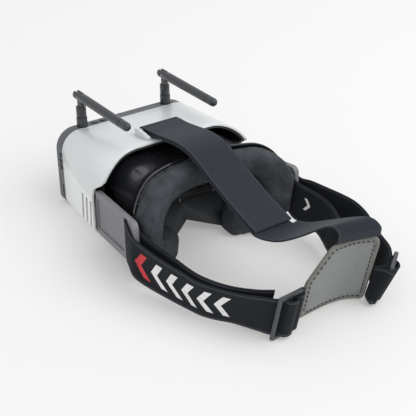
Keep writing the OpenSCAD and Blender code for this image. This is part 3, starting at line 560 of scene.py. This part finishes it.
def side_strap(side, look):
    """One adjustable side strap from its slider round the arm and back, with its print."""
    name = "left" if side > 0 else "right"
    node = f"side_strap_{name}"
    need(node)
    if side > 0:
        edges = side_edges(1, LEFT_SLIDER, LEFT_TOP, LEFT_LOW, LEFT_BACK_TOP, LEFT_BACK_LOW)
    else:
        edges = side_edges(-1, RIGHT_SLIDER, RIGHT_TOP, RIGHT_LOW, RIGHT_BACK_TOP, RIGHT_BACK_LOW)
    ribbon = Ribbon(*edges)
    strap = ribbon.mesh(f"webbing_{name}", look.webbing_thickness)
    settle(strap, "headset", "webbing", "webbing", node)
    outer = -outer_side(side, look)
    if side > 0:
        fold = ribbon.run[4 * (len(BAR_TURN) + len(LEFT_TOP))] / MM
        red = printed("print_red", ribbon, [fold - RED_BACK], 8, 6.5, 0.2, 0.8, outer)
        starts = [fold - WHITE_BACK - WHITE_PITCH * k for k in range(WHITE_COUNT)]
        white = printed("print_white", ribbon, starts, 8, 6, 0.2, 0.8, outer)
        extras = [settle(red, "headset", "red_ink", "webbing"),
                  settle(white, "headset", "white_ink", "webbing")]
    else:
        fold = ribbon.run[4 * (len(BAR_TURN) + len(RIGHT_TOP) + len(ARM_TURN))] / MM
        white = printed("print_small", ribbon, [fold + SMALL_AHEAD], 4, 3, 0.4, 0.72, outer)
        extras = [settle(white, "headset", "white_ink", "webbing")]


def pad_loop(side, look):
    """The sewn webbing loop that joins the pad to the outer bar of a slider."""
    name = "left" if side > 0 else "right"
    slider, bar, way, sewn = (
        (LEFT_SLIDER, 23.0, 1, ((-3.1, 256, 0), (-3, 254.1, 0))) if side > 0
        else (RIGHT_SLIDER, 1.5, -1, ((-72, 266.1, 0), (-73, 264.5, 0))))
    edges = []
    for up in (SLIDER_H - WEB_LOW, WEB_LOW):
        ends = [(p[0], p[1] + up * PAD_LEAN, min(up, PAD_END - 1)) for p in sewn]
        turn = [on_slider(slider, bar + way * a, b, up) for a, b in END_TURN]
        edges.append([ends[0], *turn, ends[1]])
    ribbon = Ribbon(*edges)
    loop = ribbon.mesh(f"loop_{name}", look.webbing_thickness)
    settle(loop, "headset", "webbing", "webbing", f"pad_loop_{name}")


PAD_LINE = [(-4, 255, 0), (-20, 253.8, 0), (-38, 253.4, 0), (-52, 255, 0), (-63, 259.2, 0),
            (-71.3, 264.6, 0)]
PAD_LEAN, PAD_LOW, PAD_END, PAD_TOP, PAD_THICK = 0.1, 1.0, 38.0, 70.0, 5.0
# Share of the length over which the upper edge climbs, its height at the other end and its fall there
PAD_CLIMB, PAD_FAR, PAD_FALL = 0.34, 0.8, 0.3
# Millimetres: half thickness at the edge, depth of the soft waves, and the binding and seam in from the edge
PAD_RIM, PAD_WAVE, BINDING_IN, SEAM_IN = 0.9, 0.22, 2.0, 4.6


class Pad:
    """The curved back pad: a place on it by its share along, its height and its lift off the middle."""

    def __init__(self):
        self.line = curve_through(PAD_LINE, 12)
        self.run = [0.0]
        for a, b in zip(self.line, self.line[1:]):
            self.run.append(self.run[-1] + (b - a).length)

    def crest(self, u):
        """Height of the upper edge, with its corners rounded off."""
        total = 0.0
        for k in range(-4, 5):
            w = min(1.0, max(0.0, u + k * 0.005))
            total += PAD_END + (PAD_TOP - PAD_END) * min(1.0, w / PAD_CLIMB, PAD_FAR + (1 - w) / PAD_FALL)
        return total / 9

    def at(self, u, z, lift=0.0):
        """A point that share along the pad, at that height and lifted off its middle."""
        along = min(max(u, 0.0), 1.0) * self.run[-1] * 0.99999
        i = max(k for k in range(len(self.run) - 1) if self.run[k] <= along)
        t = (along - self.run[i]) / (self.run[i + 1] - self.run[i])
        spot = self.line[i].lerp(self.line[i + 1], t)
        ahead = self.line[i + 1] - self.line[i]
        out = Vector((-ahead.y, ahead.x, 0)).normalized()
        return row(spot + Vector((0, z * PAD_LEAN, z)) - out * lift)

    def outward(self, u, z):
        """The direction off the face of the pad at a point."""
        return (self.at(u, z, 1.0) - self.at(u, z, 0.0)).normalized()

    def outline(self, inset):
        """Points round the pad, that far in from its edge, each as a share along and a height."""
        n = 40
        start, end = inset / self.run[-1], 1 - inset / self.run[-1]
        spots = [(start + (end - start) * k / n, PAD_LOW + inset) for k in range(n)]
        high = self.crest(end) - inset
        spots += [(end, PAD_LOW + inset + (high - PAD_LOW - inset) * k / 14) for k in range(14)]
        shares = [end + (start - end) * k / n for k in range(n)]
        spots += [(share, self.crest(share) - inset) for share in shares]
        high = self.crest(start) - inset
        spots += [(start, high + (PAD_LOW + inset - high) * k / 14) for k in range(14)]
        # rounded corners
        count = len(spots)
        return [tuple((spots[i - 1][c] + 2 * spots[i][c] + spots[(i + 1) % count][c]) / 4 for c in (0, 1))
                for i in range(count)]


def back_pad(look):
    """The padded back piece in coated leather, with its folded binding and its stitch line."""
    need("back_pad")
    pad = Pad()
    wide, tall = 48, 26
    inset = 1.6
    points, faces = [], []
    for face in (1, -1):
        for i in range(wide + 1):
            for j in range(tall + 1):
                a, b = i / wide, j / tall
                u = (inset + a * (pad.run[-1] - 2 * inset)) / pad.run[-1]
                low, high = PAD_LOW + inset, pad.crest(u) - inset
                crown = (1 - abs(2 * a - 1) ** 6) * (1 - abs(2 * b - 1) ** 6)
                puff = math.sin(a * 9.0 + b * 2.0) * math.sin(b * 5.0 + a * 3.0)
                lift = face * (PAD_RIM + (PAD_THICK / 2 - PAD_RIM) * crown + PAD_WAVE * puff * crown)
                points.append(pad.at(u, low + (high - low) * b, lift))
    side = (wide + 1) * (tall + 1)
    for face, base in ((1, 0), (-1, side)):
        for i in range(wide):
            for j in range(tall):
                a = base + i * (tall + 1) + j
                quad = (a, a + 1, a + tall + 2, a + tall + 1)
                faces.append(quad if face < 0 else quad[::-1])
    rim = [i * (tall + 1) for i in range(wide + 1)] + [wide * (tall + 1) + j for j in range(1, tall + 1)]
    rim += [i * (tall + 1) + tall for i in range(wide - 1, -1, -1)] + [j for j in range(tall - 1, 0, -1)]
    for k, a in enumerate(rim):
        b = rim[(k + 1) % len(rim)]
        faces.append((a, b, side + b, side + a))
    body = lay_mesh("pad", points, faces)
    settle(body, "headset", "leather", "pad_leather", "back_pad")
    edge = pad.outline(BINDING_IN)
    binding = tube_round("pad_binding", [pad.at(u, z) for u, z in edge], [pad.outward(u, z) for u, z in edge],
                         2.0 * MM, 1.75 * MM)
    settle(binding, "headset", "binding", "pad_leather")
    inner = pad.outline(SEAM_IN)
    seam = stitches("pad_stitches", [pad.at(u, z, 2.05) for u, z in inner],
                    [pad.outward(u, z) for u, z in inner], look.stitch_length, 0.7 * MM, 0.42 * MM)
    settle(seam, "headset", "thread", "pad_leather")


def top_strap(look):
    """The over-head strap: a tape looped round the bridge on the shell, with its flap and folded end."""
    need("top_strap")
    lines = [[(x, p[0], p[1]) for p in FLAP_LINE + UNDER_LINE] + tail
             for x, tail in ((WEB / 2, TAIL_LEFT), (-WEB / 2, TAIL_RIGHT))]
    ribbon = Ribbon(*lines)
    strap = ribbon.mesh("tape", look.webbing_thickness)
    settle(strap, "headset", "loop_tape", "webbing", "top_strap")


SETTLE_FRAMES = 20


def settle_cloth(obj, pressure, cap):
    """Fills a closed mesh with the cloth solver and limits how far it may swell."""
    scene = bpy.context.scene
    rest = [v.co.copy() for v in obj.data.vertices]
    cloth = obj.modifiers.new("Fill", "CLOTH")
    cloth.settings.use_pressure = True
    cloth.settings.uniform_pressure_force = pressure
    cloth.settings.effector_weights.gravity = 0.0
    cloth.settings.quality = 6
    cloth.settings.tension_stiffness = 15.0
    cloth.settings.compression_stiffness = 15.0
    cloth.point_cache.frame_start, cloth.point_cache.frame_end = 1, SETTLE_FRAMES
    for frame_number in range(1, SETTLE_FRAMES + 1):
        scene.frame_set(frame_number)
    shaped = obj.evaluated_get(bpy.context.evaluated_depsgraph_get()).to_mesh()
    moved = [v.co.copy() for v in shaped.vertices]
    obj.evaluated_get(bpy.context.evaluated_depsgraph_get()).to_mesh_clear()
    obj.modifiers.remove(cloth)
    scene.frame_set(1)
    for vertex, a, b in zip(obj.data.vertices, rest, moved):
        move = b - a
        vertex.co = a + move * min(1.0, cap / max(move.length, 1e-9))


def baked(obj):
    """Applies every modifier of a new piece to its mesh."""
    shaped = bpy.data.meshes.new_from_object(obj.evaluated_get(bpy.context.evaluated_depsgraph_get()))
    obj.modifiers.clear()
    obj.data = shaped


# Radius and middle of the bend that the foam follows just behind its flange
FLANGE_BEND = (147.4, 260.3)


def face_foam(look):
    """The face foam in brushed knit: a soft, slightly swollen ring, open at the nose."""
    need("face_foam")
    foam = bpy.data.objects.new("foam", NODES["face_foam"].data.copy())
    bpy.context.scene.collection.objects.link(foam)
    voxels = foam.modifiers.new("Voxels", "REMESH")
    voxels.mode = "VOXEL"
    voxels.voxel_size = 2.6 * MM
    soft = foam.modifiers.new("Soft", "SMOOTH")
    soft.iterations = 10
    soft.factor = 0.5
    baked(foam)
    settle_cloth(foam, look.foam_pressure, 1.6 * MM)
    folds = bpy.data.textures.new("Folds", "CLOUDS")
    folds.noise_scale = 13 * MM
    push = foam.modifiers.new("Folds", "DISPLACE")
    push.texture = folds
    push.strength = 1.7 * MM
    push.mid_level = -0.6
    foam.modifiers.new("Finer", "SUBSURF").render_levels = 1
    baked(foam)
    middle = row((0, FLANGE_BEND[1], 0))
    for vertex in foam.data.vertices:
        reach = (vertex.co - middle).to_2d()
        if reach.length > FLANGE_BEND[0] * MM:
            reach *= FLANGE_BEND[0] * MM / reach.length
            vertex.co.x, vertex.co.y = middle.x + reach.x, middle.y + reach.y
        vertex.co.z = max(vertex.co.z, 0.3 * MM)
    for polygon in foam.data.polygons:
        polygon.use_smooth = True
    finish(foam, "knit")
    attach(foam, "headset")
    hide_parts("face_foam")


# ---- stage ----


# Metres: aim and size of both lights, half the floor and its depth under the pieces
LIGHT_AIM, LIGHT_SIZE = (0, 0, 0.04), 2.2
FLOOR_HALF, FLOOR_DEPTH = 40.0, 0.0003
CAMERA_LENS, CAMERA_SENSOR = 86.82, 36.0
CAMERA_AT = (0.477894, 0.56627, 0.52990)
# The camera's right, up and back directions
CAMERA_AXES = ((-0.80021, 0.59553, 0.07083), (-0.28371, -0.47996, 0.83015), (0.52837, 0.64420, 0.55302))


def area_light(name, at, power):
    """A round soft light that faces the goggles."""
    light = bpy.data.lights.new(name, "AREA")
    light.shape = "DISK"
    light.size = LIGHT_SIZE
    light.energy = power
    obj = bpy.data.objects.new(name, light)
    obj.location = at
    obj.rotation_euler = (Vector(LIGHT_AIM) - Vector(at)).to_track_quat("-Z", "Y").to_euler()
    bpy.context.scene.collection.objects.link(obj)


def build_stage(look):
    """A pale floor, soft light all round and the camera."""
    corners = [Vector((x * FLOOR_HALF, y * FLOOR_HALF, -FLOOR_DEPTH))
               for x, y in ((-1, -1), (1, -1), (1, 1), (-1, 1))]
    floor = lay_mesh("floor", corners, [(0, 1, 2, 3)])
    pale = blank("Pale floor", Roughness=0.9, Base_Color=linear("CBCBCA"),
                 Emission_Color=linear("F6F6F4"), Emission_Strength=look.floor_glow)[0]
    floor.data.materials.append(pale)
    world = bpy.data.worlds.new("Studio")
    world.use_nodes = True
    sky = world.node_tree.nodes["Background"]
    sky.inputs["Color"].default_value = linear("F7F8FA")
    sky.inputs["Strength"].default_value = look.room_light
    bpy.context.scene.world = world
    bpy.context.scene.view_settings.view_transform = "Standard"
    area_light("key", (-0.9, 0.9, 1.9), 26)
    area_light("fill", (1.4, 0.3, 1.5), 1.5)
    camera = bpy.data.cameras.new("camera")
    camera.lens = CAMERA_LENS
    camera.sensor_width = CAMERA_SENSOR
    camera.clip_start, camera.clip_end = 0.02, 60
    seen = bpy.data.objects.new("camera", camera)
    bpy.context.scene.collection.objects.link(seen)
    turn = Matrix(CAMERA_AXES).transposed().to_4x4()
    seen.matrix_world = Matrix.Translation(CAMERA_AT) @ turn
    bpy.context.scene.camera = seen


# ---- add-on ----


def colour_property(name, description, code):
    """A colour on the panel, with a hex code as its start."""
    return bpy.props.FloatVectorProperty(name=name, description=description, subtype="COLOR", size=3, min=0.0,
                                         max=1.0, default=linear(code)[:3])


class GogglesLook(bpy.types.PropertyGroup):
    """Colours and sizes of the goggles' looks."""

    shell_colour: colour_property("Shell", "Colour of the outer shell", "D8DADA")
    rim_colour: colour_property("Module", "Colour of the display module", "585A5E")
    webbing_colour: colour_property("Webbing", "Colour of the side straps", "181B20")
    leather_colour: colour_property("Leather", "Colour of the back pad", "757876")
    webbing_thickness: bpy.props.FloatProperty(
        name="Webbing thickness", description="Thickness of every strap", default=1.6 * MM, min=1.0 * MM,
        max=2.0 * MM, precision=4, unit="LENGTH")
    stitch_length: bpy.props.FloatProperty(
        name="Stitch length", description="Length of one stitch on the pad", default=3.2 * MM, min=1.5 * MM,
        max=5.0 * MM, precision=4, unit="LENGTH")
    edge_round: bpy.props.FloatProperty(
        name="Edge rounding", description="Usual rounding of the moulded edges", default=0.4 * MM,
        min=0.1 * MM, max=1.0 * MM, precision=4, unit="LENGTH")
    foam_pressure: bpy.props.FloatProperty(
        name="Foam pressure", description="Pressure that swells the face foam", default=4.0, min=0.0,
        max=10.0)
    room_light: bpy.props.FloatProperty(
        name="Room light", description="Strength of the even light all round", default=0.85, min=0.0, max=3.0)
    floor_glow: bpy.props.FloatProperty(
        name="Floor glow", description="Light that comes through the floor and softens the shadows",
        default=0.27, min=0.0, max=1.0)


class GOGGLES_OT_hard(bpy.types.Operator):
    """Finish and round the moulded and metal pieces"""

    bl_idname = "goggles.hard"
    bl_label = "Hard pieces"

    def execute(self, context):
        look = context.scene.goggles_look
        need(*HARD)
        FINISH.update(make_materials(look))
        for node, name in HARD.items():
            soften(node, name, EDGES.get(node, look.edge_round / MM))
        return {"FINISHED"}


class GOGGLES_OT_side_straps(bpy.types.Operator):
    """Build both side straps with their print"""

    bl_idname = "goggles.side_straps"
    bl_label = "Side straps"

    def execute(self, context):
        for side in (1, -1):
            side_strap(side, context.scene.goggles_look)
        return {"FINISHED"}


class GOGGLES_OT_top_strap(bpy.types.Operator):
    """Build the strap that runs over the head"""

    bl_idname = "goggles.top_strap"
    bl_label = "Top strap"

    def execute(self, context):
        top_strap(context.scene.goggles_look)
        return {"FINISHED"}


class GOGGLES_OT_pad(bpy.types.Operator):
    """Build the back pad and the loops that hold it"""

    bl_idname = "goggles.pad"
    bl_label = "Back pad"

    def execute(self, context):
        look = context.scene.goggles_look
        back_pad(look)
        for side in (1, -1):
            pad_loop(side, look)
        return {"FINISHED"}


class GOGGLES_OT_foam(bpy.types.Operator):
    """Build the face foam"""

    bl_idname = "goggles.foam"
    bl_label = "Face foam"

    def execute(self, context):
        face_foam(context.scene.goggles_look)
        return {"FINISHED"}


class GOGGLES_OT_stage(bpy.types.Operator):
    """Set up the floor, the light and the camera"""

    bl_idname = "goggles.stage"
    bl_label = "Stage"

    def execute(self, context):
        build_stage(context.scene.goggles_look)
        return {"FINISHED"}


STEPS = (GOGGLES_OT_hard, GOGGLES_OT_pad, GOGGLES_OT_side_straps, GOGGLES_OT_top_strap, GOGGLES_OT_foam,
         GOGGLES_OT_stage)


class GOGGLES_PT_panel(bpy.types.Panel):
    """Colours, sizes and steps of the goggles"""

    bl_label = "Video goggles"
    bl_idname = "GOGGLES_PT_panel"
    bl_space_type = "VIEW_3D"
    bl_region_type = "UI"
    bl_category = "Goggles"

    def draw(self, context):
        look = context.scene.goggles_look
        for name in GogglesLook.__annotations__:
            self.layout.prop(look, name)
        for step in STEPS:
            self.layout.operator(step.bl_idname)


def register():
    """Adds the classes and the settings to the program."""
    for kind in (GogglesLook, *STEPS, GOGGLES_PT_panel):
        bpy.utils.register_class(kind)
    bpy.types.Scene.goggles_look = bpy.props.PointerProperty(type=GogglesLook)


def unregister():
    """Takes the classes and the settings away again."""
    del bpy.types.Scene.goggles_look
    for kind in reversed((GogglesLook, *STEPS, GOGGLES_PT_panel)):
        bpy.utils.unregister_class(kind)


def main():
    """Registers the add-on and builds everything in order."""
    register()
    bpy.ops.goggles.hard()
    bpy.ops.goggles.pad()
    bpy.ops.goggles.side_straps()
    bpy.ops.goggles.top_strap()
    bpy.ops.goggles.foam()
    bpy.ops.goggles.stage()


if __name__ == "__main__":
    main()
